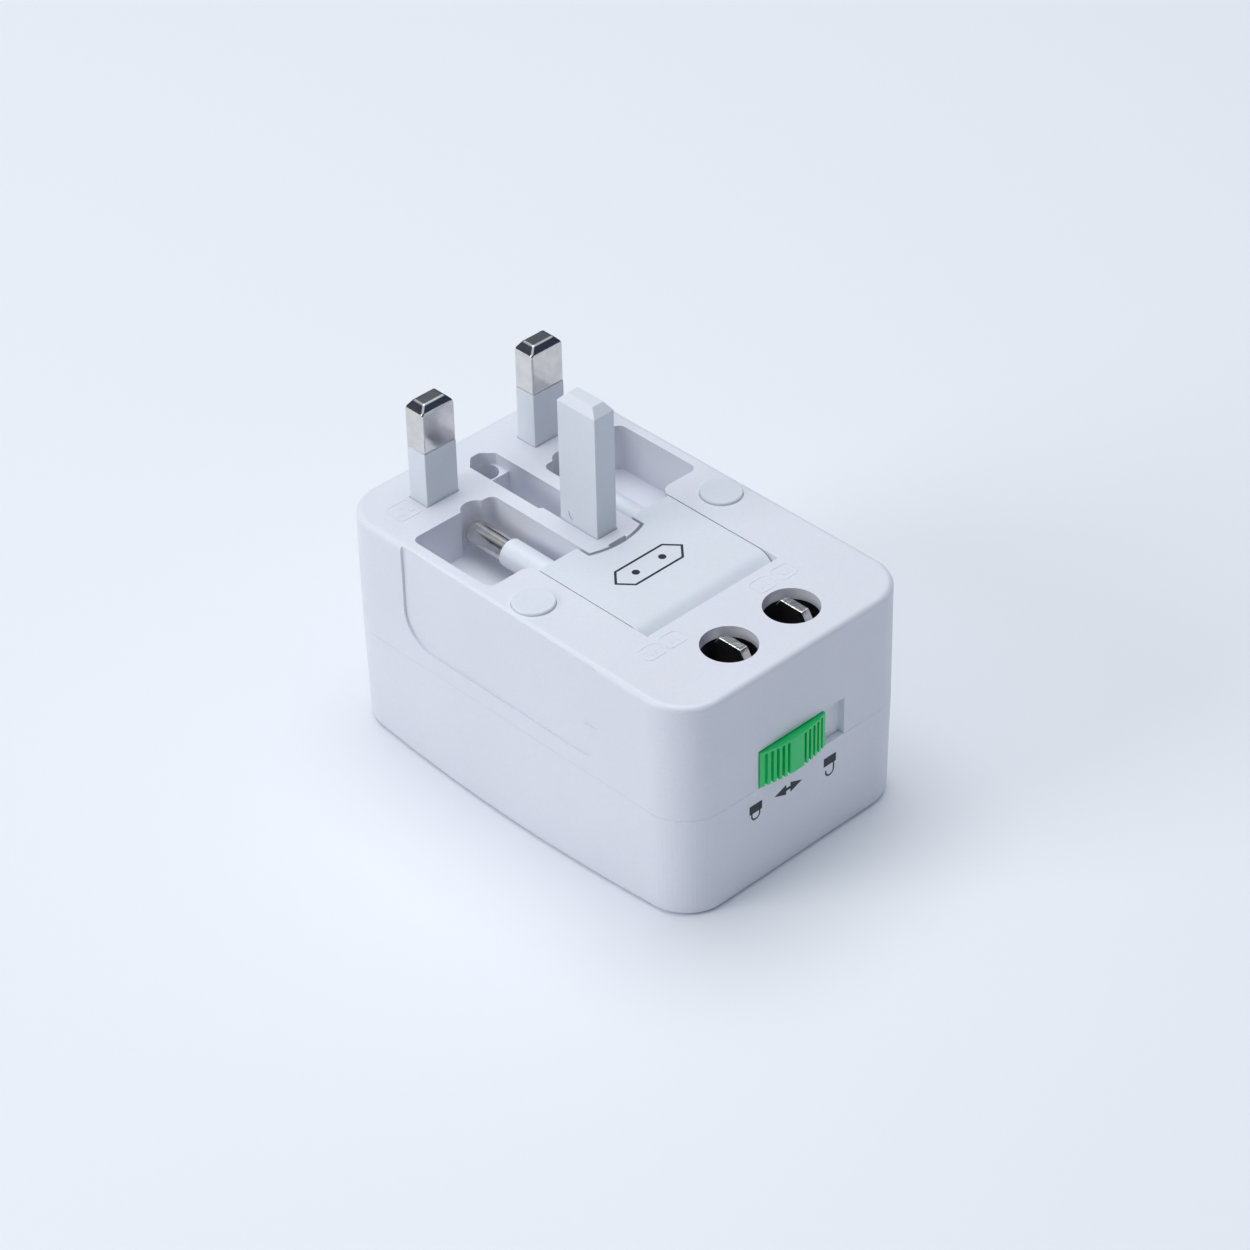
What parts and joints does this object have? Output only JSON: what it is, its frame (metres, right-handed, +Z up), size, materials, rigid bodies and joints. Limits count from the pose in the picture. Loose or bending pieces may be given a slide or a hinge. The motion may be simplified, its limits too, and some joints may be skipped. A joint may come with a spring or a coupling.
{
  "type": "universal travel adapter",
  "caption": "Two-part travel plug adapter: universal socket block with turning flat blades, and a clip-on block with British pins, a folding earth pin and a flip-up flap of round pins.",
  "frame": {"origin": "centre of the socket face, the flat face that the adapter stands on", "axes": "+X along the body towards the lock slider's end, +Y across the body, +Z up through the British pins"},
  "size_m": [0.076, 0.05, 0.0617],
  "materials": {
    "housing_plastic": "fine satin moulded polycarbonate, cool white",
    "flap_plastic": "fine satin moulded plastic, slightly bluer white",
    "lock_plastic": "bright green moulded plastic",
    "inner_plastic": "black moulded plastic",
    "plated_metal": "nickel plated brass, polished",
    "contact_brass": "pressed brass strip",
    "fastener_steel": "zinc plated steel"
  },
  "bodies": {
    "lower_module": {"lower_shell": "housing_plastic", "lower_cover": "housing_plastic", "lower_screws": "fastener_steel", "socket_contact_live": "contact_brass", "socket_contact_neutral": "contact_brass"},
    "upper_module": {"upper_shell": "housing_plastic", "upper_base": "housing_plastic", "screw_cap_front": "flap_plastic", "screw_cap_back": "flap_plastic", "upper_screws": "fastener_steel", "uk_pin_live": "plated_metal", "uk_pin_neutral": "plated_metal", "uk_sleeve_live": "housing_plastic", "uk_sleeve_neutral": "housing_plastic", "busbar_live": "contact_brass", "busbar_neutral": "contact_brass", "blade_contact_live": "contact_brass", "blade_contact_neutral": "contact_brass", "contact_carrier": "inner_plastic", "earth_axle": "fastener_steel", "flap_axle": "fastener_steel", "flap_contact_live": "contact_brass", "flap_contact_neutral": "contact_brass"},
    "round_pin_flap": {"eu_flap": "flap_plastic", "eu_flap_cover": "flap_plastic", "eu_pin_live": "plated_metal", "eu_pin_neutral": "plated_metal", "eu_sleeve_live": "housing_plastic", "eu_sleeve_neutral": "housing_plastic", "eu_conductor_live": "contact_brass", "eu_conductor_neutral": "contact_brass"},
    "earth_prong": {"earth_pin": "flap_plastic"},
    "lock_button": {"lock_slider": "lock_plastic"},
    "turning_blade_live": {"us_blade_live": "plated_metal", "blade_rotor_live": "housing_plastic"},
    "turning_blade_neutral": {"us_blade_neutral": "plated_metal", "blade_rotor_neutral": "housing_plastic"}
  },
  "joints": [
    {"name": "module_release", "type": "slide", "parent": "lower_module", "child": "upper_module", "axis": [0, 0, 1], "range_m": [0, 0.024]},
    {"name": "flap_raise", "type": "hinge", "parent": "upper_module", "child": "round_pin_flap", "pos_m": [0.0155, 0, 0.0353], "axis": [0, 1, 0], "range_deg": [0, 90]},
    {"name": "earth_pin_fold", "type": "hinge", "parent": "upper_module", "child": "earth_prong", "pos_m": [-0.00387, 0, 0.0381], "axis": [0, 1, 0], "range_deg": [-90, 0]},
    {"name": "lock_slide", "type": "slide", "parent": "upper_module", "child": "lock_button", "axis": [0, 1, 0], "range_m": [0, 0.0042]},
    {"name": "blade_turn_live", "type": "hinge", "parent": "lower_module", "child": "turning_blade_live", "pos_m": [0.02875, -0.00535, 0.0224], "axis": [0, 0, 1], "range_deg": [0, 30]},
    {"name": "blade_turn_neutral", "type": "hinge", "parent": "lower_module", "child": "turning_blade_neutral", "pos_m": [0.02875, 0.00735, 0.0224], "axis": [0, 0, 1], "range_deg": [-30, 0]}
  ]
}
